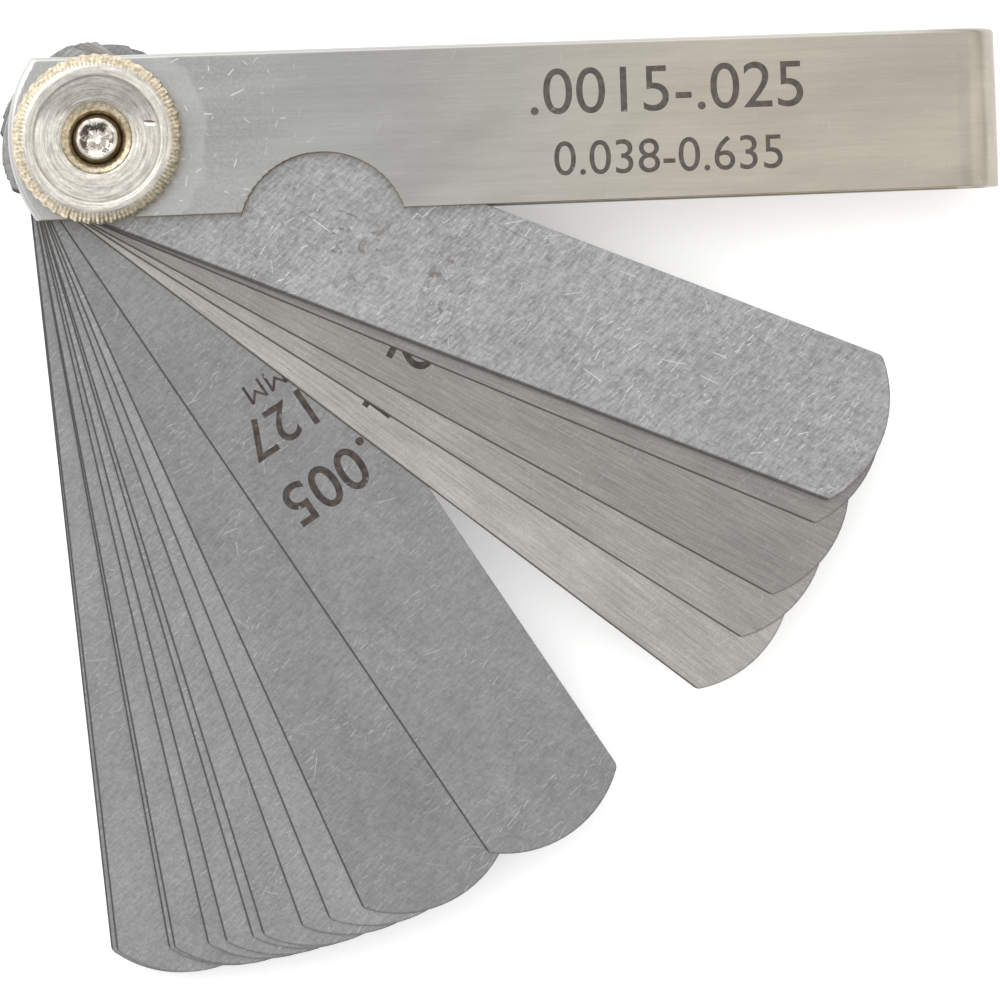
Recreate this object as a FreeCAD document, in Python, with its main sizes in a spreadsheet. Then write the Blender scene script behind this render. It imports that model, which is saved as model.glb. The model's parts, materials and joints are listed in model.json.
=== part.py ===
import FreeCAD, Part
import math
import os
import Sketcher
from FreeCAD import Placement, Rotation, Vector

# A pocket feeler gauge: a folded sheet-metal holder, a fan of gauge blades on one pivot screw,
# and a knurled thumb nut that clamps the pack.
# Origin: pivot axis, on the outer face of the screw head that the gauge lies on.
# +X runs along the holder to its fold, +Y to the holder's straight edge, +Z out through the nut.

SIZES = {
    # gauge blades: half an inch wide and just under three inches long
    "blade_width": 12.7,
    "blade_tip_reach": 68.2,
    "blade_heel_reach": 7.6,
    "blade_tip_radius": 9.4,
    "blade_heel_radius": 9.2,
    "blade_tip_corner": 0.75,
    "blade_heel_corner": 0.3,
    "blade_bore_radius": 2.05,
    "blade_gap": 0.02,
    # holder strip: the leaf gap is the whole pack of blades with a running gap round each, and
    # its centre line passes the pivot on the side of the straight edge
    "holder_across": 0.25,
    "leaf_thickness": 0.9,
    "leaf_gap": 4.64,
    "holder_reach": 73.1,
    "holder_heel_reach": 7.4,
    "holder_heel_radius": 11.4,
    "holder_heel_width": 13.25,
    "holder_fold_width": 12.85,
    "notch_radius": 6.95,
    "notch_along": 18.05,
    "notch_outside": 8.8,
    "edge_round_upper": 0.4,
    "edge_round_heel": 0.6,
    "edge_round_lower": 0.12,
    "screw_passage_radius": 2.1,
    # pivot screw
    "head_radius": 4.5,
    "head_height": 1.0,
    "head_chamfer": 0.25,
    "neck_side": 4.1,
    "neck_height": 0.8,
    "neck_clearance": 0.05,
    "shank_radius": 2.0,
    "shank_chamfer": 0.3,
    "punch_radius": 0.7,
    "punch_depth": 0.35,
    # washer and thumb nut
    "washer_radius": 5.2,
    "washer_thickness": 0.4,
    "seat_gap": 0.02,
    "nut_radius": 6.95,
    "nut_face_radius": 6.0,
    "nut_height": 3.0,
    "nut_bevel_height": 0.9,
    "nut_foot_chamfer": 0.4,
    "nut_bore_radius": 2.05,
    "nut_sink_radius": 2.9,
    "nut_screw_recess": 0.15,
    "flute_radius": 0.32,
    "flute_count": 44,
    # how far a cutting profile runs past the metal it cuts
    "cut_margin": 1.0,
}

# Each gauge from the back leaf to the front leaf: its size in ten-thousandths of an inch,
# and how far it is swung out of the holder, in degrees.
GAUGES = [
    ("018", 180, 85.7),
    ("016", 160, 85.3),
    ("015", 150, 81.6),
    ("014", 140, 81.2),
    ("013", 130, 78.8),
    ("012", 120, 77.5),
    ("010", 100, 75.6),
    ("009", 90, 74.8),
    ("008", 80, 72.0),
    ("007", 70, 70.0),
    ("006", 60, 67.5),
    ("005", 50, 57.8),
    ("004", 40, 39.0),
    ("003", 30, 34.2),
    ("002", 20, 30.5),
    ("0015", 15, 24.6),
    ("025", 250, 22.8),
]
TEN_THOUSANDTH = 0.00254

# Heights above the foot of the screw head, as expressions over the sheet.
FRONT_FACE = "Sizes.head_height + 2 * Sizes.leaf_thickness + Sizes.leaf_gap"
WASHER_LEVEL = FRONT_FACE + " + Sizes.seat_gap"
NUT_LEVEL = WASHER_LEVEL + " + Sizes.washer_thickness + Sizes.seat_gap"
SCREW_TOP = NUT_LEVEL + " + Sizes.nut_height - Sizes.nut_screw_recess"

# Coordinates this close count as equal, and an edge this long is a side of the holder.
TOUCH = 1e-4
LONG_EDGE = 10.0

# How Sketcher names the origin, its axes and the points of a piece of geometry.
ORIGIN_POINT = (-1, 1)
X_AXIS, Y_AXIS = -1, -2
START, END, CENTRE = 1, 2, 3


def make_sheet(doc):
    """Put every driving dimension in a cell with an alias."""
    sheet = doc.addObject("Spreadsheet::Sheet", "Sizes")
    cells = dict(SIZES)
    for name, tens, swing in GAUGES:
        cells["thickness_" + name] = round(tens * TEN_THOUSANDTH, 5)
        cells["swing_" + name] = swing
    for row, (alias, value) in enumerate(cells.items(), start=1):
        sheet.set("A%d" % row, alias.replace("_", " "))
        sheet.set("B%d" % row, str(value))
        sheet.setAlias("B%d" % row, alias)
    doc.recompute()
    return sheet


def size(name):
    """Read one driving dimension."""
    return float(sheet.get(name))


def worth(expression):
    """Work out an expression over the sheet, which may start with a minus sign."""
    if expression.startswith("-"):
        return -float(sheet.evalExpression(expression[1:]))
    return float(sheet.evalExpression(expression))


def make_body(name, label):
    body = doc.addObject("PartDesign::Body", name)
    body.Label = label
    return body


def origin_plane(body, role):
    return next(item for item in body.Origin.OriginFeatures if item.Role == role)


def make_sketch(body, name, role="XY_Plane"):
    """Start a sketch on one of the body's own origin planes."""
    sketch = body.newObject("Sketcher::SketchObject", name)
    sketch.AttachmentSupport = [(origin_plane(body, role), "")]
    sketch.MapMode = "FlatFace"
    return sketch


def bind_distance(sketch, kind, geometry, point, expression):
    """Hold one coordinate of a point at a signed expression from the sketch origin."""
    negative = expression.startswith("-")
    if negative:
        expression = expression[1:]
    ends = (geometry, point) + ORIGIN_POINT if negative else ORIGIN_POINT + (geometry, point)
    index = sketch.addConstraint(Sketcher.Constraint(kind, *ends, worth(expression)))
    sketch.setExpression("Constraints[%d]" % index, expression)


def bind_coordinate(sketch, kind, geometry, point, expression):
    """Hold one coordinate, on the axis itself where the expression is zero."""
    if expression == "0":
        axis = Y_AXIS if kind == "DistanceX" else X_AXIS
        sketch.addConstraint(Sketcher.Constraint("PointOnObject", geometry, point, axis))
    else:
        bind_distance(sketch, kind, geometry, point, expression)


def bind_radius(sketch, geometry, expression):
    index = sketch.addConstraint(Sketcher.Constraint("Radius", geometry, worth(expression)))
    sketch.setExpression("Constraints[%d]" % index, expression)


def add_polygon(sketch, corners):
    """Draw a closed outline whose corners are pairs of expressions."""
    points = [Vector(worth(along), worth(across), 0) for along, across in corners]
    first = sketch.GeometryCount
    count = len(points)
    for index in range(count):
        sketch.addGeometry(Part.LineSegment(points[index], points[(index + 1) % count]))
    for index in range(count):
        following = first + (index + 1) % count
        sketch.addConstraint(Sketcher.Constraint("Coincident", first + index, END, following, START))
    for index, (along, across) in enumerate(corners):
        bind_coordinate(sketch, "DistanceX", first + index, START, along)
        bind_coordinate(sketch, "DistanceY", first + index, START, across)


def add_circle(sketch, radius, along="0", across="0"):
    """Draw a circle with its radius and centre bound to expressions."""
    centre = Vector(worth(along), worth(across), 0)
    geometry = sketch.addGeometry(Part.Circle(centre, Vector(0, 0, 1), worth(radius)))
    bind_coordinate(sketch, "DistanceX", geometry, CENTRE, along)
    bind_coordinate(sketch, "DistanceY", geometry, CENTRE, across)
    bind_radius(sketch, geometry, radius)


def add_arc(sketch, centre_along, radius, start_angle, end_angle):
    """Draw an arc centred on the X axis."""
    centre = Vector(worth(centre_along), 0, 0)
    circle = Part.Circle(centre, Vector(0, 0, 1), worth(radius))
    geometry = sketch.addGeometry(Part.ArcOfCircle(circle, start_angle, end_angle))
    bind_coordinate(sketch, "DistanceX", geometry, CENTRE, centre_along)
    bind_coordinate(sketch, "DistanceY", geometry, CENTRE, "0")
    bind_radius(sketch, geometry, radius)
    return geometry


def join_lines(sketch, first, point, second, other_point):
    """Add a line from one geometry's end to another's and return it."""
    ends = (sketch.getPoint(first, point), sketch.getPoint(second, other_point))
    line = sketch.addGeometry(Part.LineSegment(*ends))
    sketch.addConstraint(Sketcher.Constraint("Coincident", line, START, first, point))
    sketch.addConstraint(Sketcher.Constraint("Coincident", line, END, second, other_point))
    return line


def pad(body, sketch, name, length, symmetric=False):
    feature = body.newObject("PartDesign::Pad", name)
    feature.Profile = sketch
    feature.setExpression("Length", length)
    if symmetric:
        feature.SideType = "Symmetric"
    doc.recompute()


def pocket_through(body, sketch, name):
    """Cut a profile through the whole body, both ways from its plane."""
    feature = body.newObject("PartDesign::Pocket", name)
    feature.Profile = sketch
    feature.Type = "ThroughAll"
    feature.SideType = "Symmetric"
    doc.recompute()
    return feature


def dress(body, kind, name, chosen, size_property, expression):
    """Fillet or chamfer the edges of the body's tip that pass a test."""
    base = body.Tip
    edges = enumerate(base.Shape.Edges, start=1)
    feature = body.newObject("PartDesign::" + kind, name)
    feature.Base = (base, ["Edge%d" % number for number, edge in edges if chosen(edge)])
    feature.setExpression(size_property, expression)
    doc.recompute()


def is_upright(edge):
    box = edge.BoundBox
    return box.XLength < TOUCH and box.YLength < TOUCH


# --- gauge blades ---------------------------------------------------------------------------

def blade_outline(sketch):
    """A strip with a bowed tip and a bowed heel, pierced at the pivot."""
    half = size("blade_width") / 2
    tip_angle = math.asin(half / size("blade_tip_radius"))
    heel_angle = math.asin(half / size("blade_heel_radius"))
    tip = add_arc(sketch, "Sizes.blade_tip_reach - Sizes.blade_tip_radius",
                  "Sizes.blade_tip_radius", -tip_angle, tip_angle)
    heel = add_arc(sketch, "Sizes.blade_heel_radius - Sizes.blade_heel_reach",
                   "Sizes.blade_heel_radius", math.pi - heel_angle, math.pi + heel_angle)
    upper = join_lines(sketch, tip, END, heel, START)
    lower = join_lines(sketch, heel, END, tip, START)
    sketch.addConstraint(Sketcher.Constraint("Horizontal", upper))
    sketch.addConstraint(Sketcher.Constraint("Horizontal", lower))
    bind_distance(sketch, "DistanceY", tip, END, "Sizes.blade_width / 2")
    bind_distance(sketch, "DistanceY", tip, START, "-Sizes.blade_width / 2")
    add_circle(sketch, "Sizes.blade_bore_radius")


def make_blade(name, level):
    """One gauge blade, its pivot hole at the body's origin, swung out of the holder."""
    body = make_body("Blade" + name, "blade_" + name)
    outline = make_sketch(body, "Outline" + name)
    blade_outline(outline)
    pad(body, outline, "Strip" + name, "Sizes.thickness_" + name)
    dress(body, "Fillet", "TipCorners" + name,
          lambda edge: is_upright(edge) and edge.BoundBox.XMin > size("blade_tip_radius"),
          "Radius", "Sizes.blade_tip_corner")
    dress(body, "Fillet", "HeelCorners" + name,
          lambda edge: is_upright(edge) and edge.BoundBox.XMax < -size("blade_bore_radius") - TOUCH,
          "Radius", "Sizes.blade_heel_corner")
    body.Placement = Placement(Vector(0, 0, level), Rotation(Vector(0, 0, 1), -size("swing_" + name)))
    return body


def make_blades():
    """Stack the blades from the back leaf up, with a running gap under each."""
    level = size("head_height") + size("leaf_thickness")
    blades = []
    for name, _, _ in GAUGES:
        level += size("blade_gap")
        blades.append(make_blade(name, level))
        level += size("thickness_" + name)
    return blades


# --- holder ---------------------------------------------------------------------------------

def fold_profile(sketch):
    """Side view of the strip: two leaves joined by a round fold."""
    overhang = "-(Sizes.holder_heel_reach + Sizes.cut_margin)"
    inner_radius = "Sizes.leaf_gap / 2"
    outer_radius = inner_radius + " + Sizes.leaf_thickness"
    middle = outer_radius
    centre_along = "Sizes.holder_reach - (%s)" % outer_radius
    centre = Vector(worth(centre_along), worth(middle), 0)
    quarter = math.pi / 2
    arcs = []
    for radius in (outer_radius, inner_radius):
        circle = Part.Circle(centre, Vector(0, 0, 1), worth(radius))
        arc = sketch.addGeometry(Part.ArcOfCircle(circle, -quarter, quarter))
        bind_coordinate(sketch, "DistanceX", arc, CENTRE, centre_along)
        bind_coordinate(sketch, "DistanceY", arc, CENTRE, middle)
        bind_radius(sketch, arc, radius)
        arcs.append(arc)
    for front in (True, False):
        point = END if front else START
        ends = [leaf_edge(sketch, arc, point, overhang) for arc in arcs]
        join_lines(sketch, ends[0], END, ends[1], END)


def leaf_edge(sketch, arc, point, overhang):
    """A straight leaf surface, tangent to its fold arc, drawn out past the heel."""
    start = sketch.getPoint(arc, point)
    line = sketch.addGeometry(Part.LineSegment(start, Vector(worth(overhang), start.y, 0)))
    sketch.addConstraint(Sketcher.Constraint("Tangent", line, START, arc, point))
    sketch.addConstraint(Sketcher.Constraint("Horizontal", line))
    bind_distance(sketch, "DistanceX", line, END, overhang)
    return line


def plan_outline(sketch):
    """Everything outside the holder's plan: a bowed heel and edges that close towards the fold."""
    heel_half = size("holder_heel_width") / 2
    heel_angle = math.asin(heel_half / size("holder_heel_radius"))
    heel = add_arc(sketch, "Sizes.holder_heel_radius - Sizes.holder_heel_reach",
                   "Sizes.holder_heel_radius", math.pi - heel_angle, math.pi + heel_angle)
    bind_distance(sketch, "DistanceY", heel, START, "Sizes.holder_heel_width / 2")
    bind_distance(sketch, "DistanceY", heel, END, "-Sizes.holder_heel_width / 2")
    reach = "Sizes.holder_reach + Sizes.cut_margin"
    half = "Sizes.holder_fold_width / 2"
    far = Vector(worth(reach), worth(half), 0)
    end = sketch.addGeometry(Part.LineSegment(far, Vector(far.x, -far.y, 0)))
    for point, across in ((START, half), (END, "-" + half)):
        bind_distance(sketch, "DistanceX", end, point, reach)
        bind_distance(sketch, "DistanceY", end, point, across)
    join_lines(sketch, heel, START, end, START)
    join_lines(sketch, end, END, heel, END)
    left = "-2 * Sizes.holder_heel_reach"
    right = "Sizes.holder_reach + 2 * Sizes.cut_margin"
    add_polygon(sketch, [(left, "-Sizes.holder_heel_width"), (right, "-Sizes.holder_heel_width"),
                         (right, "Sizes.holder_heel_width"), (left, "Sizes.holder_heel_width")])


def outer_edge_test(body, choose):
    """Pick edges on the outer skins of both leaves, not on the inner ones."""
    box = body.Tip.Shape.BoundBox

    def test(edge):
        span = edge.BoundBox
        on_skin = span.ZMax < box.ZMin + TOUCH or span.ZMin > box.ZMax - TOUCH
        return on_skin and choose(span)
    return test


def make_handle():
    """The folded strip with its thumb notch, screw passages and rolled outer edges.

    It is drawn about its own centre line and then set across the pivot.
    """
    body = make_body("Handle", "handle")
    side = make_sketch(body, "FoldProfile", "XZ_Plane")
    fold_profile(side)
    pad(body, side, "FoldedStrip", "Sizes.holder_heel_width + Sizes.cut_margin", symmetric=True)
    plan = make_sketch(body, "PlanOutline")
    plan_outline(plan)
    pocket_through(body, plan, "TrimToPlan")
    notch = make_sketch(body, "NotchCircle")
    add_circle(notch, "Sizes.notch_radius", "Sizes.notch_along", "-Sizes.notch_outside")
    pocket_through(body, notch, "ThumbNotch")
    roll_edges(body)
    passage = make_sketch(body, "ScrewPassage")
    add_circle(passage, "Sizes.screw_passage_radius", "0", "-Sizes.holder_across")
    pocket_through(body, passage, "PassageHole")
    square = make_sketch(body, "NeckSquare")
    half = "(Sizes.neck_side / 2 + Sizes.neck_clearance)"
    near = half + " - Sizes.holder_across"
    far = "-(%s + Sizes.holder_across)" % half
    add_polygon(square, [("-" + half, far), (half, far), (half, near), ("-" + half, near)])
    broach = body.newObject("PartDesign::Pocket", "NeckHole")
    broach.Profile = square
    broach.Reversed = True
    broach.setExpression("Length", "Sizes.leaf_thickness + Sizes.cut_margin")
    doc.recompute()
    body.Placement = Placement(Vector(0, size("holder_across"), size("head_height")), Rotation())
    return body


def roll_edges(body):
    """Round the outer edges: widest at the heel, less along the straight edge, least at the notch."""
    dress(body, "Fillet", "HeelRoll",
          outer_edge_test(body, lambda span: span.XMax < 0),
          "Radius", "Sizes.edge_round_heel")
    dress(body, "Fillet", "UpperRoll",
          outer_edge_test(body, lambda span: span.YMin > 0 and span.XLength > LONG_EDGE),
          "Radius", "Sizes.edge_round_upper")
    dress(body, "Fillet", "LowerRoll",
          outer_edge_test(body, lambda span: span.YMax < 0 and span.XLength > LONG_EDGE),
          "Radius", "Sizes.edge_round_lower")


# --- pivot screw, washer and nut ------------------------------------------------------------

def make_screw():
    """Low round head, square neck, round shank with a centre-punched end."""
    top = worth(SCREW_TOP)
    body = make_body("PivotScrew", "pivot_screw")
    head = make_sketch(body, "HeadCircle")
    add_circle(head, "Sizes.head_radius")
    pad(body, head, "Head", "Sizes.head_height")
    neck = make_sketch(body, "NeckProfile")
    half = "Sizes.neck_side / 2"
    add_polygon(neck, [("-" + half, "-" + half), (half, "-" + half), (half, half), ("-" + half, half)])
    pad(body, neck, "Neck", "Sizes.head_height + Sizes.neck_height")
    shank = make_sketch(body, "ShankCircle")
    add_circle(shank, "Sizes.shank_radius")
    pad(body, shank, "Shank", SCREW_TOP)
    dress(body, "Chamfer", "ShankEnd",
          lambda edge: edge.BoundBox.ZMin > top - TOUCH, "Size", "Sizes.shank_chamfer")
    dress(body, "Chamfer", "HeadRim",
          lambda edge: edge.BoundBox.ZMax < TOUCH, "Size", "Sizes.head_chamfer")
    punch = make_sketch(body, "PunchProfile", "XZ_Plane")
    add_polygon(punch, [("0", SCREW_TOP), ("Sizes.punch_radius", SCREW_TOP),
                        ("0", SCREW_TOP + " - Sizes.punch_depth")])
    mark = body.newObject("PartDesign::Groove", "PunchMark")
    mark.Profile = punch
    mark.ReferenceAxis = (punch, ["V_Axis"])
    mark.Angle = 360
    doc.recompute()
    return body


def make_washer():
    body = make_body("ThrustWasher", "thrust_washer")
    ring = make_sketch(body, "WasherRing")
    add_circle(ring, "Sizes.washer_radius")
    add_circle(ring, "Sizes.screw_passage_radius")
    pad(body, ring, "Washer", "Sizes.washer_thickness")
    body.Placement = Placement(Vector(0, 0, worth(WASHER_LEVEL)), Rotation())
    return body


def make_nut():
    """Turned thumb nut: bevelled rim, countersunk mouth and straight flutes round the side."""
    body = make_body("LockNut", "lock_nut")
    profile = make_sketch(body, "NutProfile", "XZ_Plane")
    bore, sink, face = "Sizes.nut_bore_radius", "Sizes.nut_sink_radius", "Sizes.nut_face_radius"
    rim, height, foot = "Sizes.nut_radius", "Sizes.nut_height", "Sizes.nut_foot_chamfer"
    add_polygon(profile, [
        (bore, "0"),
        ("%s - %s" % (rim, foot), "0"),
        (rim, foot),
        (rim, "%s - Sizes.nut_bevel_height" % height),
        (face, height),
        (sink, height),
        (bore, "%s - (%s - %s)" % (height, sink, bore)),
    ])
    turned = body.newObject("PartDesign::Revolution", "TurnedBlank")
    turned.Profile = profile
    turned.ReferenceAxis = (profile, ["V_Axis"])
    turned.Angle = 360
    doc.recompute()
    flute = make_sketch(body, "FluteCircle")
    add_circle(flute, "Sizes.flute_radius", rim)
    cut = pocket_through(body, flute, "Flute")
    ring = body.newObject("PartDesign::PolarPattern", "Flutes")
    ring.Originals = [cut]
    ring.Axis = (flute, ["N_Axis"])
    ring.Angle = 360
    ring.setExpression("Occurrences", "Sizes.flute_count")
    body.Tip = ring
    doc.recompute()
    body.Placement = Placement(Vector(0, 0, worth(NUT_LEVEL)), Rotation())
    return body


# --- assembly -------------------------------------------------------------------------------

def check_document(parts):
    """Stop if any feature failed or any piece is not one valid solid."""
    for item in doc.Objects:
        if "Invalid" in item.State or "Error" in item.State:
            raise RuntimeError("failed feature: " + item.Name)
    for piece in parts:
        shape = piece.Shape
        if shape.isNull() or not shape.isValid() or len(shape.Solids) != 1:
            raise RuntimeError("bad solid: " + piece.Label)


doc = FreeCAD.newDocument("feeler_gauge")
sheet = make_sheet(doc)
pieces = [make_handle(), make_screw(), make_washer(), make_nut()] + make_blades()
doc.recompute()
check_document(pieces)
os.makedirs("parts", exist_ok=True)
for piece in pieces:
    piece.Shape.exportStep("parts/%s.step" % piece.Label)
    print(piece.Label, round(piece.Shape.Volume, 3), piece.Shape.BoundBox)
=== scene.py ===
import json
import math
import random

import bmesh
import bpy
from mathutils import Matrix, Vector


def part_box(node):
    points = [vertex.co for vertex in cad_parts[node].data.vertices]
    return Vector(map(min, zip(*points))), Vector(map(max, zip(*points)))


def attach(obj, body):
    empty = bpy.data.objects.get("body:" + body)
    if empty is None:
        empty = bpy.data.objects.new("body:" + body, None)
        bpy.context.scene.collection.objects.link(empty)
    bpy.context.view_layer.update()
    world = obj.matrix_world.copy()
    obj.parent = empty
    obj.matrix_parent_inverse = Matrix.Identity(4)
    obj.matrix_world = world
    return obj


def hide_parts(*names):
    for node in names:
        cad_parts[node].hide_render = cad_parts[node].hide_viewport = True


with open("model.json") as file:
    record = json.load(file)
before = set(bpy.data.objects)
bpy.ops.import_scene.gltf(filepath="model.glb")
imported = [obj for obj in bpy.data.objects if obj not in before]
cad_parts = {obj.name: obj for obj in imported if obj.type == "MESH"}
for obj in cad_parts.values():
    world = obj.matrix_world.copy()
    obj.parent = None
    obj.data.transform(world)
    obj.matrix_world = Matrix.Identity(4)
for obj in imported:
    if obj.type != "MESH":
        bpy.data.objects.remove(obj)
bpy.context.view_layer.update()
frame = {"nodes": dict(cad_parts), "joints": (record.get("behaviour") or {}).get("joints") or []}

# A pocket feeler gauge. The CAD pieces stand on the pivot axis at the origin: +X runs along the
# holder to its fold, +Y to its straight edge and +Z out through the thumb nut. Blender works in
# metres, and MM turns millimetres into them. Shader patterns, the profiles of the turned pieces
# and the sizes and places on the object are in millimetres.

MM = 0.001

BLADES = sorted(name for name in frame["nodes"] if name.startswith("blade_"))
THIN_BLADES = ("blade_0015", "blade_002", "blade_003", "blade_004")
COVER_BLADE = "blade_025"
MARKED_ON_TOP = THIN_BLADES + ("blade_005", COVER_BLADE)

HOLDER_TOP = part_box("handle")[1].z
NUT_LOW, NUT_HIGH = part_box("lock_nut")
SCREW_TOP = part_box("pivot_screw")[1].z / MM


def swing_of(blade):
    """How far a blade stands out of the holder at rest, in radians."""
    joint = next(j for j in frame["joints"] if j["name"] == blade.replace("blade_", "swing_"))
    return math.radians(joint["range_deg"][1])


def body_of(blade):
    return blade.replace("blade_", "gauge_")


# --- shader nodes -------------------------------------------------------------------------------

class Surface:
    """A material and short ways to add nodes to it."""

    def __init__(self, name):
        self.material = bpy.data.materials.new(name)
        self.material.use_nodes = True
        self.tree = self.material.node_tree
        self.shader = self.tree.nodes["Principled BSDF"]

    def put(self, socket, value):
        """Join a socket to another, or set it to a plain value."""
        if isinstance(value, bpy.types.NodeSocket):
            self.tree.links.new(value, socket)
        else:
            socket.default_value = value

    def add(self, kind, settings=(), inputs=(), output=0):
        """Add a node, set it up and return one of its outputs."""
        node = self.tree.nodes.new("ShaderNode" + kind)
        for name, value in dict(settings).items():
            setattr(node, name, value)
        for key, value in dict(inputs).items():
            self.put(node.inputs[key], value)
        return node.outputs[output]

    # numbers

    def math(self, operation, first, second=0.0, third=0.0):
        return self.add("Math", {"operation": operation}, {0: first, 1: second, 2: third})

    def times(self, first, *others):
        for other in others:
            first = self.math("MULTIPLY", first, other)
        return first

    def most(self, first, *others):
        """The largest of several values."""
        for other in others:
            first = self.math("MAXIMUM", first, other)
        return first

    def linear(self, value, gain, offset):
        return self.math("MULTIPLY_ADD", value, gain, offset)

    def ramp(self, value, low, high):
        """Rise from 0 to 1 between two values, in a straight line."""
        return self.add("MapRange", {"clamp": True}, {"Value": value, "From Min": low, "From Max": high})

    def smooth(self, value, low, high):
        """Go from 0 to 1 between two values, eased at both ends; low may be the larger."""
        settings = {"clamp": True, "interpolation_type": "SMOOTHSTEP"}
        return self.add("MapRange", settings, {"Value": value, "From Min": low, "From Max": high})

    def vary(self, pattern, depth, low=0.3, high=0.7, middle=1.0):
        """A factor that follows a pattern, by half the depth each way about its middle."""
        return self.linear(self.ramp(pattern, low, high), depth, middle - depth / 2)

    # places

    def place(self, turn=0.0):
        """Object coordinates in millimetres, turned about the pivot axis."""
        scale = 1 / MM
        inputs = {"Vector": self.add("TexCoord", output=3), "Rotation": (0, 0, turn)}
        inputs["Scale"] = (scale, scale, scale)
        return self.add("Mapping", {"vector_type": "POINT"}, inputs)

    def vector(self, operation, first, second=(0, 0, 0)):
        output = 1 if operation == "LENGTH" else 0
        return self.add("VectorMath", {"operation": operation}, {0: first, 1: second}, output)

    def parts(self, vector):
        return self.add("SeparateXYZ", inputs={0: vector}).node.outputs

    def flat(self, vector):
        """The same place with no height."""
        return self.vector("MULTIPLY", vector, (1, 1, 0))

    def reach(self, vector):
        """The distance in plan from the vector's origin."""
        return self.vector("LENGTH", self.flat(vector))

    def levelness(self):
        """1 on a level face and 0 on an upright one."""
        return self.math("ABSOLUTE", self.parts(self.add("TexCoord", output=1))[2])

    # patterns

    def noise(self, vector, scale=1.0, detail=3.0, roughness=0.5):
        inputs = {"Vector": vector, "Scale": scale, "Detail": detail, "Roughness": roughness}
        return self.add("TexNoise", {"noise_dimensions": "3D"}, inputs)

    def grain(self, vector, along, across, lean=0.0, shift=(0, 0, 0)):
        """Coordinates for a pattern drawn out by so much along a direction and across it."""
        inputs = {"Vector": vector, "Location": shift, "Rotation": (0, 0, lean)}
        inputs["Scale"] = (along, across, 1)
        return self.add("Mapping", {"vector_type": "TEXTURE"}, inputs)

    def streaks(self, vector, along, across, lean=0.0, detail=3.0, roughness=0.65):
        """Noise drawn out by so much along a direction and across it."""
        return self.noise(self.grain(vector, along, across, lean), 1.0, detail, roughness)

    def scratches(self, vector, cell, width, reach, lean, spread, seed):
        """One straight scratch in each Voronoi cell, its direction near the lean."""
        end_fade = 0.06
        shifted = self.grain(vector, cell, cell, shift=(seed, seed * 1.7, 0))
        settings = {"voronoi_dimensions": "2D", "feature": "F1"}
        colour = self.add("TexVoronoi", settings, {"Vector": shifted, "Scale": 1.0}, 1)
        away = self.vector("SUBTRACT", shifted, colour.node.outputs["Position"])
        rolls = self.add("SeparateColor", inputs={0: colour}).node.outputs
        angle = self.linear(rolls[0], spread, -lean - spread / 2)
        turned = self.add("VectorRotate", {"rotation_type": "Z_AXIS"}, {"Vector": away, "Angle": angle})
        along, across, _ = self.parts(turned)
        half = self.times(rolls[1], reach / cell)
        lies = self.smooth(self.math("SUBTRACT", self.math("ABSOLUTE", along), half), end_fade, 0.0)
        line = self.smooth(self.math("ABSOLUTE", across), width / cell, 0.0)
        return self.times(lies, line, rolls[2])

    # colours and the finished surface

    def mix(self, share, first, second, blend="MIX"):
        settings = {"data_type": "RGBA", "blend_type": blend}
        return self.add("Mix", settings, {0: share, 6: first, 7: second}, 2)

    def shaded(self, colour, tone):
        """A colour made lighter and darker by a factor."""
        grid = self.add("CombineColor", inputs={0: tone, 1: tone, 2: tone})
        return self.mix(1.0, colour, grid, "MULTIPLY")

    def bump(self, height, depth, strength):
        """A normal for a height pattern whose unit is so many millimetres deep."""
        return self.add("Bump", inputs={"Height": height, "Distance": depth * MM, "Strength": strength})

    def finish(self, colour, roughness, normal=None, metallic=1.0, anisotropic=0.0):
        self.put(self.shader.inputs["Base Color"], colour)
        self.put(self.shader.inputs["Roughness"], roughness)
        self.put(self.shader.inputs["Metallic"], metallic)
        self.put(self.shader.inputs["Anisotropic"], anisotropic)
        if normal:
            self.put(self.shader.inputs["Normal"], normal)
        return self.material


def grey(level, warmth=0.0):
    """A colour of one brightness, warmer when warmth is above zero."""
    return (level * (1 + warmth), level, level * (1 - 1.4 * warmth), 1)


# --- blade steel --------------------------------------------------------------------------------

SCRATCH_LEAN = math.radians(42)
BLADE_EDGE = 6.36        # half a blade's width, and a hair more
TIP_RADIUS = 9.4
TIP_MIDDLE = 58.8        # the middle of the tip's arc, from the pivot
TIP_LINE_START = 60.0
# The colour of the painted shade along a blade's lower edge and round its tip.
EDGE_SHADE_COLOUR = (0.055, 0.050, 0.046, 1)


def blade_marks(s, place, lean, seed, marks):
    """Light and dark scratches, more of them where the blade is worn."""
    light = s.most(
        s.scratches(place, cell=0.8, width=0.05, reach=0.30, lean=lean, spread=0.9, seed=seed + 0.3),
        s.scratches(place, cell=1.5, width=0.05, reach=0.65, lean=lean, spread=0.7, seed=seed + 4.1),
        s.scratches(place, cell=3.1, width=0.06, reach=1.0, lean=lean - 0.2, spread=2.6, seed=seed + 7.7))
    dark = s.most(
        s.scratches(place, cell=1.1, width=0.05, reach=0.4, lean=lean + 1.7, spread=1.2, seed=seed + 11.3),
        s.scratches(place, cell=4.3, width=0.06, reach=1.9, lean=lean + 1.6, spread=0.8, seed=seed + 15.9))
    worn = s.smooth(s.noise(place, 0.16, 2.0), 0.40, 0.62)
    light = s.times(light, s.linear(worn, 0.36 * marks, 0.14 * marks))
    dark = s.times(dark, s.linear(worn, 0.5 * marks, 0.1 * marks))
    return light, dark


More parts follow.
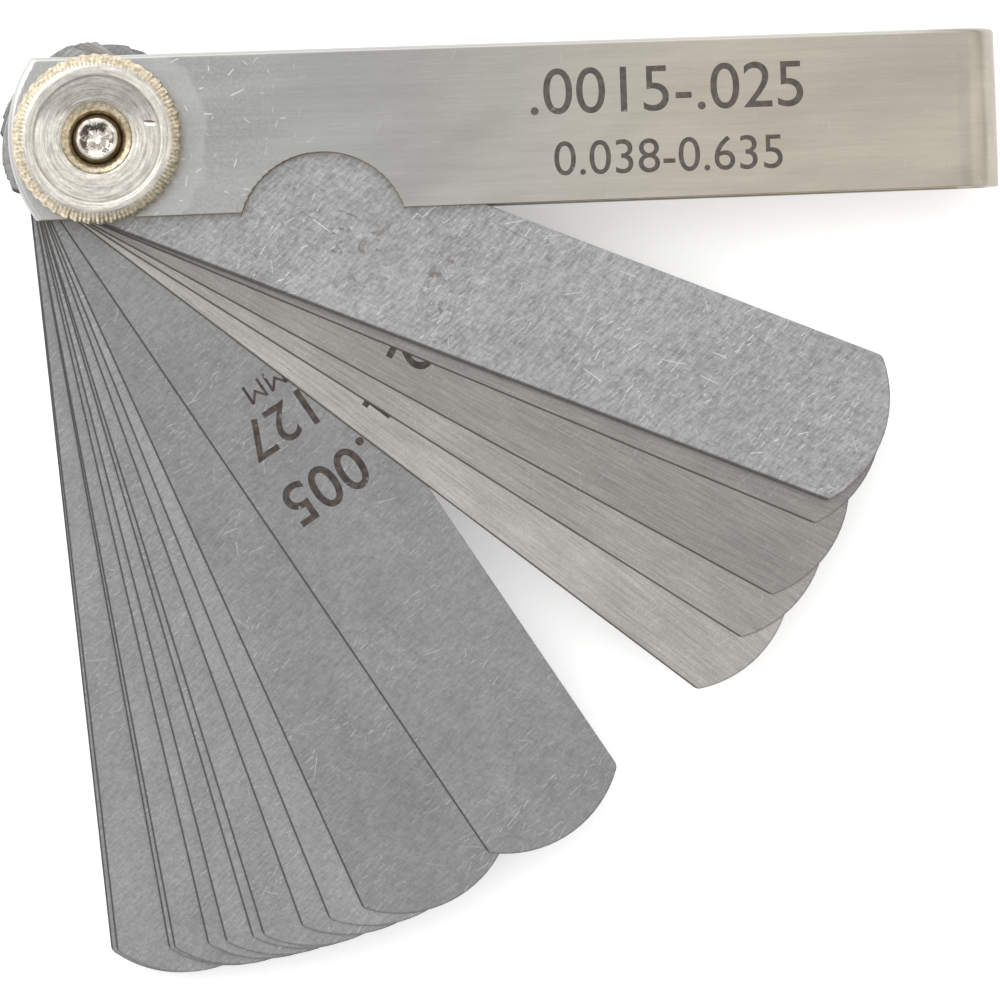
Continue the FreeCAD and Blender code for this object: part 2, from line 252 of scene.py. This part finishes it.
def edge_shade(s, own, edge):
    """Painted shade: a dark line along the blade's lower edge and a weak one round its tip."""
    along, across, _ = s.parts(own)
    lower = s.smooth(across, -BLADE_EDGE + edge * 1.6, -BLADE_EDGE + edge * 0.7)
    nose = s.reach(s.vector("SUBTRACT", own, (TIP_MIDDLE, 0, 0)))
    outer = s.math("GREATER_THAN", along, TIP_LINE_START)
    tip = s.times(s.smooth(nose, TIP_RADIUS - 0.18, TIP_RADIUS - 0.04), outer)
    shade = s.most(s.times(lower, 0.88), s.times(tip, 0.35))
    side_share = 0.35
    top = s.smooth(s.levelness(), 0.3, 0.6)
    return s.times(shade, s.linear(top, 1 - side_share, side_share))


def blade_steel(name, turn, seed, level, warmth=0.0, brushed=0.0, marks=0.7, edge=0.13, frosting=0.46):
    """Spring steel: a silky or a brushed grain, short scratches, and painted shade along the lower edge."""
    s = Surface(name)
    own = s.place(turn)
    place = s.vector("ADD", own, (seed * 31.0, seed * 17.0, 0))
    lean = turn + SCRATCH_LEAN
    silk = s.streaks(place, 0.85, 0.2, lean)
    cross = s.streaks(place, 0.7, 0.22, lean + 1.9, roughness=0.6)
    frost = s.math("ADD", s.times(silk, 0.65), s.times(cross, 0.35))
    brush = s.streaks(place, 3.6, 0.13)
    fibre = s.math("ADD", s.times(frost, 1 - brushed), s.times(brush, brushed))
    cloud = s.streaks(place, 9.0, 6.0, detail=4.0, roughness=0.6)
    dust = s.noise(place, 5.0, 2.0, 0.7)
    tone = s.times(s.vary(fibre, frosting), s.vary(cloud, 0.20), s.vary(dust, 0.18))
    light, dark = blade_marks(s, place, lean, seed, marks)
    colour = s.shaded(grey(level, warmth), tone)
    colour = s.mix(dark, colour, grey(level * 0.5, warmth))
    colour = s.mix(light, colour, grey(0.9))
    # Painted shade along the lower edge and round the tip.
    colour = s.mix(edge_shade(s, own, edge), colour, EDGE_SHADE_COLOUR)
    height = s.linear(fibre, 0.8, s.times(dust, 0.3))
    height = s.math("SUBTRACT", height, s.times(s.math("ADD", light, dark), 0.6))
    return s.finish(colour, s.linear(cloud, 0.14, 0.34), s.bump(height, 0.006, 0.6), 0.92)


def etched_mark(name, worn=0.0, pale=0.0):
    """Dark brown-black etching, a little uneven, with bare steel where it is worn."""
    s = Surface(name)
    place = s.place()
    patch = s.noise(place, 1.6, 4.0, 0.7)
    colour = s.mix(s.smooth(patch, 0.35, 0.7), (0.022, 0.016, 0.014, 1), (0.075, 0.058, 0.048, 1))
    colour = s.mix(pale, colour, (0.24, 0.21, 0.19, 1))
    rubbed = s.times(s.smooth(s.noise(place, 0.9, 4.0, 0.7), 0.62 - worn, 0.74 - worn), 0.94)
    silk = s.streaks(place, 0.85, 0.2, SCRATCH_LEAN)
    bare = s.shaded(grey(0.31), s.vary(silk, 0.75, middle=0.975))
    colour = s.mix(rubbed, colour, bare)
    roughness = s.linear(patch, 0.3, 0.4)
    return s.finish(colour, roughness, s.bump(patch, 0.003, 0.5), s.linear(rubbed, 0.7, 0.2))


# --- holder strip -------------------------------------------------------------------------------

FOLD_START = 69.9        # where the leaves run into the fold, from the pivot
CUT_COLOUR = (0.34, 0.26, 0.15, 1)
# The colour of the painted highlight on the rolled edges.
ROLLED_HIGHLIGHT_COLOUR = (0.56, 0.55, 0.52, 1)


def strip_edges(s, along, across, colour):
    """Brass where the lower edge and the notch are cut, and a painted highlight on the rolled edges."""
    facing = s.levelness()
    below = s.smooth(across, -1.4, -1.5)
    inboard = s.times(s.math("GREATER_THAN", along, -4.9), s.smooth(along, FOLD_START, FOLD_START - 0.6))
    cut = s.times(s.smooth(facing, 0.985, 0.80), below, inboard)
    colour = s.mix(s.times(cut, 0.85), colour, CUT_COLOUR)
    # A painted highlight on the rolled edges, as if they caught the light.
    rolled = s.times(s.smooth(facing, 0.995, 0.93), s.smooth(facing, 0.30, 0.55))
    rolled = s.times(rolled, s.smooth(along, FOLD_START, FOLD_START - 3.9), s.math("SUBTRACT", 1.0, cut))
    return s.mix(s.times(rolled, 0.75), colour, ROLLED_HIGHLIGHT_COLOUR)


def strip_wear(s, place, near_pivot, colour):
    """Light scratches, thicker near the pivot, and a mark rubbed round the nut."""
    light = s.most(
        s.scratches(place, cell=1.7, width=0.06, reach=0.3, lean=0.7, spread=3.1, seed=3.7),
        s.scratches(place, cell=3.1, width=0.10, reach=0.5, lean=0.8, spread=2.4, seed=9.4))
    colour = s.mix(s.times(light, s.linear(near_pivot, 0.65, 0.07)), colour, grey(0.95))
    rub = s.math("ADD", s.reach(place), s.times(s.noise(place, 0.5, 3.0, 0.6), 2.4))
    return s.mix(s.times(s.smooth(rub, 10.3, 9.9), 0.2), colour, grey(0.62))


def holder_strip(name):
    """Nickel-plated strip, brushed lengthwise, with a brassy tint where it is cut."""
    s = Surface(name)
    place = s.place()
    along, across, _ = s.parts(place)
    near_pivot = s.smooth(along, 19.0, 10.0)
    brush = s.streaks(place, 16.0, 0.5, detail=4.0, roughness=0.6)
    fine = s.streaks(place, 1.6, 0.1, roughness=0.6)
    cloud = s.streaks(place, 14.0, 5.0, 0.25, detail=2.0, roughness=0.5)
    grit = s.noise(place, 4.0, 2.0, 0.7)
    tone = s.times(s.vary(brush, 0.10), s.vary(fine, 0.08), s.vary(cloud, 0.18))
    rough_patch = s.times(s.math("SUBTRACT", grit, 0.5), s.times(near_pivot, 0.5))
    tone = s.math("ADD", tone, rough_patch)
    warm = s.smooth(along, 14.0, 56.0)
    colour = s.mix(warm, (0.325, 0.325, 0.318, 1), (0.40, 0.368, 0.308, 1))
    colour = strip_wear(s, place, near_pivot, s.shaded(colour, tone))
    colour = strip_edges(s, along, across, colour)
    height = s.linear(fine, 0.5, brush)
    return s.finish(colour, s.linear(brush, 0.10, 0.26), s.bump(height, 0.003, 0.4), 0.95)


# --- turned metal -------------------------------------------------------------------------------

NUT_FACE_RADIUS = 5.98
SINK_RADIUS = 2.95
GROOVE_RADIUS = 5.12
NICK = (4.35, 1.05, 0)
NICK_LIP = (4.32, 1.24, 0)
NICK_LEAN = -0.12


def ring_pattern(s, radius, rings_per_mm):
    """Uneven rings about the pivot axis."""
    along = s.add("CombineXYZ", inputs={0: s.times(radius, rings_per_mm)})
    return s.noise(along, 1.0, 5.0, 0.75)


def about_axis(s, colour, roughness, normal, share):
    """Finish a turned surface, its highlights drawn out across the turning rings."""
    s.put(s.shader.inputs["Tangent"], s.add("Tangent", {"direction_type": "RADIAL", "axis": "Z"}))
    return s.finish(colour, roughness, normal, 0.97, share)


def turned_steel(name):
    """Plain lathe-turned steel: fine rings about the pivot axis."""
    s = Surface(name)
    place = s.place()
    rings = ring_pattern(s, s.reach(place), 3.2)
    cloud = s.noise(place, 0.6, 3.0, 0.6)
    tone = s.times(s.linear(rings, 0.5, 0.75), s.linear(cloud, 0.4, 0.8))
    height = s.math("ADD", rings, s.times(cloud, 0.2))
    normal = s.bump(height, 0.02, 0.7)
    return about_axis(s, s.shaded(grey(0.5, 0.01), tone), s.linear(cloud, 0.2, 0.2), normal, 0.3)


def upset_steel(name):
    """The screw's hammered end: bright, with dark torn patches."""
    s = Surface(name)
    place = s.place()
    tear = s.noise(place, 1.1, 5.0, 0.75)
    radius = s.reach(place)
    ring = s.times(s.smooth(radius, 1.5, 1.3), s.smooth(radius, 0.55, 0.85))
    dark = s.times(s.smooth(tear, 0.47, 0.55), s.linear(ring, 0.75, 0.18))
    colour = s.mix(dark, (0.74, 0.70, 0.64, 1), (0.06, 0.045, 0.035, 1))
    rim = s.smooth(s.math("ABSOLUTE", s.math("SUBTRACT", radius, 1.86)), 0.16, 0.04)
    colour = s.mix(s.times(rim, 0.7), colour, (0.42, 0.31, 0.17, 1))
    return s.finish(colour, 0.28, s.bump(tear, 0.10, 1.0), 0.97)


def arc_pattern(s, place, radius):
    """Rings that fade in and out round the face."""
    around = s.vector("MULTIPLY", s.vector("NORMALIZE", s.flat(place)), (2.2, 2.2, 0))
    outward = s.add("CombineXYZ", inputs={2: s.times(radius, 5.5)})
    return s.noise(s.vector("ADD", around, outward), 1.0, 4.0, 0.75)


def painted_shade_side(s, place, radius, cloud):
    """Painted shade on the half of the face towards +Y, inside the groove."""
    side = s.math("ADD", s.parts(place)[1], s.times(cloud, 3.0))
    return s.times(s.smooth(side, 2.2, 4.4), s.smooth(radius, 5.3, 5.0))


def nut_metal(name):
    """Bright turned face; brass shows on the rim, the bevel teeth and the countersink."""
    s = Surface(name)
    place = s.place()
    radius = s.reach(place)
    rings = ring_pattern(s, radius, 2.6)
    fine_rings = ring_pattern(s, radius, 8.0)
    arcs = arc_pattern(s, place, radius)
    cloud = s.noise(place, 0.45, 3.0, 0.6)
    pits = s.noise(place, 3.0, 4.0, 0.7)
    # The last factor is painted shade on the half of the face towards +Y.
    tone = s.times(s.vary(rings, 0.30, 0.32, 0.68), s.vary(fine_rings, 0.24),
                   s.vary(arcs, 0.85, middle=1.005), s.vary(pits, 0.30),
                   s.linear(painted_shade_side(s, place, radius, cloud), -0.42, 1.0))
    silver = s.shaded((0.56, 0.535, 0.485, 1), tone)
    brass = s.mix(s.smooth(pits, 0.35, 0.65), (0.40, 0.33, 0.22, 1), (0.74, 0.67, 0.53, 1))
    outside = s.smooth(radius, NUT_FACE_RADIUS, NUT_FACE_RADIUS + 0.22)
    inside = s.smooth(radius, SINK_RADIUS, SINK_RADIUS - 0.1)
    colour = s.mix(s.most(outside, inside), silver, brass)
    groove = s.smooth(s.math("ABSOLUTE", s.math("SUBTRACT", radius, GROOVE_RADIUS)), 0.14, 0.04)
    colour = s.mix(s.times(groove, 0.5), colour, (0.16, 0.13, 0.10, 1))
    nick = s.reach(s.grain(place, 0.52, 0.17, NICK_LEAN, NICK))
    colour = s.mix(s.smooth(nick, 1.1, 0.8), colour, (0.95, 0.92, 0.88, 1))
    lip = s.reach(s.grain(place, 0.50, 0.11, NICK_LEAN, NICK_LIP))
    colour = s.mix(s.times(s.smooth(lip, 1.1, 0.7), 0.85), colour, (0.12, 0.08, 0.06, 1))
    height = s.math("ADD", rings, s.times(pits, 0.12))
    height = s.math("ADD", height, s.linear(fine_rings, 0.35, s.times(arcs, 0.5)))
    height = s.math("SUBTRACT", height, s.times(s.smooth(nick, 1.2, 0.2), 1.2))
    return about_axis(s, colour, s.linear(cloud, 0.16, 0.24), s.bump(height, 0.045, 0.85), 0.35)


def floor_card(name):
    """Pale card, lit a little from behind so that it stays white."""
    s = Surface(name)
    s.put(s.shader.inputs["Emission Color"], (1, 1, 1, 1))
    s.put(s.shader.inputs["Emission Strength"], 0.3)
    return s.finish((0.93, 0.93, 0.93, 1), 0.75, metallic=0.0)


# --- mesh help ----------------------------------------------------------------------------------

def make_object(name, mesh, material, body):
    piece = bpy.data.objects.new(name, mesh)
    bpy.context.scene.collection.objects.link(piece)
    piece.data.materials.clear()
    piece.data.materials.append(material)
    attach(piece, body)
    return piece


def as_mesh(name, mesh):
    """Turn a bmesh into a mesh and let the bmesh go."""
    out = bpy.data.meshes.new(name)
    mesh.to_mesh(out)
    mesh.free()
    return out


def smooth_by_angle(mesh, degrees):
    """Shade smooth, but keep level faces flat and the edges sharper than this."""
    mesh.set_sharp_from_angle(angle=math.radians(degrees))
    level = 0.99999
    mesh.polygons.foreach_set("use_smooth", [abs(p.normal.z) < level for p in mesh.polygons])
    return mesh


def eased_copy(node, width):
    """The CAD piece's own shape with its sharp edges eased by a small bevel."""
    mesh = bmesh.new()
    mesh.from_mesh(frame["nodes"][node].data)
    bmesh.ops.remove_doubles(mesh, verts=mesh.verts, dist=0.0004 * MM)
    bmesh.ops.dissolve_limit(mesh, angle_limit=math.radians(0.5), verts=mesh.verts, edges=mesh.edges)
    sharp = [e for e in mesh.edges if e.is_manifold and e.calc_face_angle() > math.radians(40)]
    bmesh.ops.bevel(mesh, geom=sharp, offset=width, segments=2, profile=0.5, affect="EDGES",
                    clamp_overlap=True)
    return smooth_by_angle(as_mesh(node + "_eased", mesh), 30)


def on_circle(radius, height, turn):
    """A point at so much of a whole turn about the pivot axis, in metres."""
    angle = 2 * math.pi * turn
    return (radius * MM * math.cos(angle), radius * MM * math.sin(angle), height * MM)


def skin(name, rings, sharp_degrees, capped):
    """A closed mesh over rings of points: its ends are capped, or its last ring joins its first."""
    mesh = bmesh.new()
    loops = [[mesh.verts.new(point) for point in ring] for ring in rings]
    steps = len(loops[0])
    for lower, upper in zip(loops, loops[1:] if capped else loops[1:] + loops[:1]):
        for step in range(steps):
            following = (step + 1) % steps
            mesh.faces.new((lower[step], lower[following], upper[following], upper[step]))
    if capped:
        mesh.faces.new(loops[-1])
        mesh.faces.new(list(reversed(loops[0])))
    return smooth_by_angle(as_mesh(name, mesh), sharp_degrees)


# --- blades -------------------------------------------------------------------------------------

# How bright each blade looks where it differs from the rest.
TONES = {"blade_025": 0.305, "blade_0015": 0.235, "blade_002": 0.24, "blade_003": 0.29,
         "blade_004": 0.34, "blade_005": 0.235, "blade_006": 0.23, "blade_007": 0.275}
USUAL_TONE = 0.26
COVER_LOOK = {"marks": 1.4, "edge": 0.24, "frosting": 0.8}
THIN_LOOK = {"warmth": 0.04, "brushed": 0.85, "marks": 0.3}
SEED_STEP = 1.37


def look_of(blade):
    """What sets a blade's steel apart, and the slot that it belongs to."""
    if blade == COVER_BLADE:
        return COVER_LOOK, "cover_gauge_steel"
    if blade in THIN_BLADES:
        return THIN_LOOK, "thin_gauge_steel"
    return {}, "gauge_steel"


def dress_blades():
    """Each blade's steel, its brushing laid along the blade."""
    for index, node in enumerate(BLADES):
        low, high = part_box(node)
        look, slot = look_of(node)
        level = TONES.get(node, USUAL_TONE)
        steel = blade_steel("steel_" + node, swing_of(node), index * SEED_STEP, level, **look)
        width = min(0.03 * MM, 0.3 * (high.z - low.z))
        piece = make_object(node + "_strip", eased_copy(node, width), steel, body_of(node))
        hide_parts(node)


MARK_LIFT = 0.003 * MM
MARK_DEPTH = 0.004 * MM
FIGURE_SHARE = 0.73      # a figure's height as a share of the type size
# (what to write, distance from the pivot to the letters' middle, their height, how much their
# strokes are swelled)
MARK_ROWS = (("inch", 33.4, 3.7, 0.04), ("millimetre", 27.2, 3.4, 0.03), ("unit", 23.9, 1.8, 0))
NEARER_MARK = 3.0        # how much nearer the pivot the thin blades and the cover are marked
FACE_UP = Matrix.Rotation(-math.pi / 2, 4, "Z")
FACE_DOWN = Matrix.Rotation(math.pi / 2, 4, "Z") @ Matrix.Rotation(math.pi, 4, "X")


def lettering(text, height, swell=0.0):
    """Flat letters centred on the origin, as a mesh; their up is +Y."""
    curve = bpy.data.curves.new("letters", "FONT")
    curve.body = text
    curve.align_x = "CENTER"
    curve.align_y = "CENTER"
    curve.size = height * MM / FIGURE_SHARE
    curve.extrude = MARK_DEPTH / 2
    curve.offset = swell * MM
    carrier = bpy.data.objects.new("letters", curve)
    bpy.context.scene.collection.objects.link(carrier)
    depsgraph = bpy.context.evaluated_depsgraph_get()
    mesh = bpy.data.meshes.new_from_object(carrier.evaluated_get(depsgraph))
    bpy.data.objects.remove(carrier)
    return mesh


def joined(name, meshes):
    out = bmesh.new()
    for mesh in meshes:
        out.from_mesh(mesh)
        bpy.data.meshes.remove(mesh)
    return as_mesh(name, out)


def size_mark(node):
    """A blade's size in inches and millimetres, across it and read from the tip side."""
    low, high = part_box(node)
    thickness = round((high.z - low.z) / MM, 3)
    words = {"inch": "." + node.replace("blade_", ""),
             "millimetre": ("%.3f" % thickness).lstrip("0"),
             "unit": "MM"}
    on_top = node in MARKED_ON_TOP
    nearer = NEARER_MARK if node in THIN_BLADES or node == COVER_BLADE else 0.0
    level = high.z + MARK_LIFT if on_top else low.z - MARK_LIFT
    turn = Matrix.Rotation(-swing_of(node), 4, "Z")
    meshes = []
    for row, reach, height, swell in MARK_ROWS:
        mesh = lettering(words[row], height, swell)
        spot = Matrix.Translation(((reach - nearer) * MM, 0, level))
        mesh.transform(turn @ spot @ (FACE_UP if on_top else FACE_DOWN))
        meshes.append(mesh)
    return joined(node + "_size_mark", meshes)


def mark_blades():
    """Each blade's etched size: clear on most blades and nearly worn away on the cover."""
    clear = etched_mark("blade_etching", 0.02)
    faint = etched_mark("worn_etching", 0.26, 0.6)
    for node in BLADES:
        ink = faint if node == COVER_BLADE else clear
        make_object(node + "_size_mark", size_mark(node), ink, body_of(node))


# --- holder -------------------------------------------------------------------------------------

HOLDER_EASE = 0.13
RANGE_ALONG = 46.3       # the middle of the size range, from the pivot
# (what to write, distance across from the pivot, height)
RANGE_ROWS = ((".0015-.025", 2.45, 3.9), ("0.038-0.635", -2.95, 2.9))


def dress_holder():
    """The folded strip and its size range in plain numbers."""
    strip = make_object("handle_strip", eased_copy("handle", HOLDER_EASE * MM),
                        holder_strip("holder_strip"), "holder")
    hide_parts("handle")
    meshes = []
    for text, across, height in RANGE_ROWS:
        mesh = lettering(text, height)
        mesh.transform(Matrix.Translation((RANGE_ALONG * MM, across * MM, HOLDER_TOP + MARK_LIFT)))
        meshes.append(mesh)
    make_object("holder_size_range", joined("holder_size_range", meshes),
                etched_mark("holder_engraving", 0.0, 0.15), "holder")


# --- nut, screw and washer ----------------------------------------------------------------------

TEETH = 115
FLUTES = 44
STEPS_PER_TOOTH = 8
TOOTH_SHARE = 0.42


def nut_profile():
    """(radius, height, tooth depth, flute depth) round the nut's section."""
    top = NUT_HIGH.z / MM
    foot = NUT_LOW.z / MM
    rim = NUT_HIGH.x / MM
    rows = [(2.05, foot, 0, 0), (4.2, foot, 0, 0), (rim - 0.45, foot, 0, 0.1),
            (rim - 0.1, foot + 0.35, 0.02, 0.3), (rim, foot + 0.6, 0.04, 0.3),
            (rim, foot + 1.2, 0.04, 0.3), (rim, top - 1.0, 0.06, 0.28), (rim - 0.06, top - 0.86, 0.12, 0.22),
            (rim - 0.32, top - 0.55, 0.26, 0.1), (rim - 0.62, top - 0.28, 0.24, 0.03),
            (rim - 0.86, top - 0.12, 0.1, 0), (rim - 0.98, top - 0.05, 0.0, 0)]
    face = [(5.86, -0.02), (5.72, 0.0), (5.5, -0.01), (5.3, -0.06), (5.1, -0.1), (4.9, -0.09),
            (4.6, -0.05), (4.3, -0.06), (4.0, -0.03), (3.7, -0.05), (3.4, -0.03), (3.2, -0.05),
            (3.0, -0.04)]
    sink = [(2.9, -0.08), (2.84, -0.2), (2.7, -0.32), (2.5, -0.42), (2.34, -0.52), (2.25, -0.68),
            (2.15, -0.9), (2.05, -1.05)]
    return rows + [(radius, top + drop, 0, 0) for radius, drop in face + sink]


def cusp(share):
    """0 on a tooth's crest and 1 in the gap beside it."""
    return 0.5 - 0.5 * math.cos(2 * math.pi * share)


def make_nut():
    """The knurled thumb nut: fine teeth on the bevel, coarser flutes down the side."""
    count = TEETH * STEPS_PER_TOOTH
    turns = [step / count for step in range(count)]
    rings = []
    for radius, height, tooth, flute in nut_profile():
        cuts = [tooth * cusp(turn * TEETH) + flute * cusp(turn * FLUTES) for turn in turns]
        rings.append([on_circle(radius - cut * TOOTH_SHARE, height, turn)
                      for cut, turn in zip(cuts, turns)])
    piece = make_object("thumb_nut", skin("thumb_nut", rings, 40, capped=False),
                        nut_metal("nut_metal"), "nut")
    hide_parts("lock_nut")


SCREW_STEPS = 96
NECK_SIDE = 4.1
NECK_HEIGHT = 0.8
HEAD_HEIGHT = 1.0


def screw_profile():
    """(radius, height, share of the unevenness) from the head's foot to the middle of the end."""
    rows = [(4.2, 0.0, 0), (4.32, 0.04, 0), (4.46, 0.18, 0), (4.5, 0.3, 0), (4.5, 0.9, 0),
            (4.4, HEAD_HEIGHT, 0), (2.0, HEAD_HEIGHT, 0), (2.0, SCREW_TOP - 1.2, 0),
            (1.9, SCREW_TOP - 0.75, 0)]
    end = [(1.76, -0.5, 0.0), (1.72, -0.22, 0.02), (1.66, -0.04, 0.05), (1.5, 0.07, 0.08),
           (1.3, 0.05, 0.12), (1.1, -0.1, 0.16), (0.88, -0.24, 0.16), (0.62, -0.14, 0.14),
           (0.38, -0.02, 0.1), (0.16, -0.08, 0.04)]
    return rows + [(radius, SCREW_TOP + drop, share) for radius, drop, share in end]


def make_screw():
    """The screw: low head, shank and an upset end with an uneven rim round a dent."""
    draw = random.Random(5)
    wave = [draw.uniform(-1, 1) for _ in range(SCREW_STEPS)]
    neighbours = range(-4, 5)
    uneven = [sum(wave[(step + shift) % SCREW_STEPS] for shift in neighbours) / 3
              for step in range(SCREW_STEPS)]
    rings = [[on_circle(radius + share * shift, height + share * shift * 0.6, step / SCREW_STEPS)
              for step, shift in enumerate(uneven)]
             for radius, height, share in screw_profile()]
    piece = make_object("screw_turned", skin("screw_turned", rings, 35, capped=True),
                        upset_steel("screw_end_steel"), "holder")
    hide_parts("pivot_screw")


def make_neck():
    """The square neck that keeps the screw from turning in the back leaf."""
    mesh = bmesh.new()
    bmesh.ops.create_cube(mesh, size=1.0)
    bmesh.ops.scale(mesh, vec=(NECK_SIDE * MM, NECK_SIDE * MM, NECK_HEIGHT * MM), verts=mesh.verts)
    middle = (HEAD_HEIGHT + NECK_HEIGHT / 2) * MM
    bmesh.ops.translate(mesh, vec=(0, 0, middle), verts=mesh.verts)
    make_object("screw_square_neck", as_mesh("screw_square_neck", mesh), turned_steel("neck_steel"),
                "holder")


def dress_washer():
    """The washer keeps its CAD shape and has plain turned steel."""
    washer = frame["nodes"]["thrust_washer"]
    washer.data.materials.clear()
    washer.data.materials.append(turned_steel("washer_steel"))


# --- stage --------------------------------------------------------------------------------------

CAMERA_PLACE = (31.6 * MM, -30.34 * MM, 800 * MM)
CAMERA_ROLL = math.radians(-1.97)
CAMERA_LENS = 351.3
SKY_RAMP = ((0.1, 0.72), (0.75, 1.2))     # (height, brightness) from the horizon up
SKY_LEAN = (-0.2, 0.4, 0.0)
FLOOR_SIZE = 3.0
FLOOR_PLACE = (0.03, -0.03, -0.02 * MM)   # just under the screw's head


def make_floor():
    bpy.ops.mesh.primitive_plane_add(size=FLOOR_SIZE, location=FLOOR_PLACE)
    floor = bpy.context.object
    floor.name = "floor_card"
    floor.data.materials.append(floor_card("floor_card"))


def make_sky():
    """A soft studio all round: brightest overhead and towards the upper left."""
    world = bpy.data.worlds.new("studio")
    bpy.context.scene.world = world
    world.use_nodes = True
    tree = world.node_tree
    background = tree.nodes["Background"]
    where = tree.nodes.new("ShaderNodeTexCoord").outputs["Generated"]
    split = tree.nodes.new("ShaderNodeSeparateXYZ")
    ramp = tree.nodes.new("ShaderNodeValToRGB")
    for element, (height, brightness) in zip(ramp.color_ramp.elements, SKY_RAMP):
        element.position = height
        element.color = (brightness, brightness, brightness, 1)
    side = tree.nodes.new("ShaderNodeVectorMath")
    side.operation = "DOT_PRODUCT"
    side.inputs[1].default_value = SKY_LEAN
    lift = tree.nodes.new("ShaderNodeMath")
    lift.operation = "ADD"
    lift.inputs[1].default_value = 1.0
    tree.links.new(where, split.inputs[0])
    tree.links.new(split.outputs["Z"], ramp.inputs[0])
    tree.links.new(where, side.inputs[0])
    tree.links.new(side.outputs["Value"], lift.inputs[0])
    tree.links.new(ramp.outputs[0], background.inputs["Color"])
    tree.links.new(lift.outputs[0], background.inputs["Strength"])


def make_light(name, place, size, power, colour=(1, 1, 1)):
    """A square lamp that faces the pivot."""
    lamp = bpy.data.lights.new(name, "AREA")
    lamp.energy = power
    lamp.size = size
    lamp.color = colour
    light = bpy.data.objects.new(name, lamp)
    bpy.context.scene.collection.objects.link(light)
    light.location = place
    light.rotation_euler = (-Vector(place)).to_track_quat("-Z", "Y").to_euler()
    light.visible_camera = False


def make_lights():
    """A large soft key from the upper left and a weak warm fill from the right."""
    make_light("key_top_left", (-0.34, 0.36, 0.34), size=0.5, power=1.8)
    make_light("warm_right", (0.50, -0.08, 0.25), size=0.4, power=0.28, colour=(1.0, 0.93, 0.84))


def make_camera():
    """Straight down on the fan, a little right of and below its middle."""
    camera = bpy.data.objects.new("camera", bpy.data.cameras.new("camera"))
    bpy.context.scene.collection.objects.link(camera)
    camera.location = CAMERA_PLACE
    camera.rotation_euler = (0, 0, CAMERA_ROLL)
    camera.data.lens = CAMERA_LENS
    camera.data.clip_start = 0.01
    bpy.context.scene.camera = camera


bpy.context.scene.view_settings.view_transform = "Standard"
make_camera()
make_sky()
make_lights()
make_floor()
dress_blades()
mark_blades()
dress_holder()
dress_washer()
make_nut()
make_screw()
make_neck()
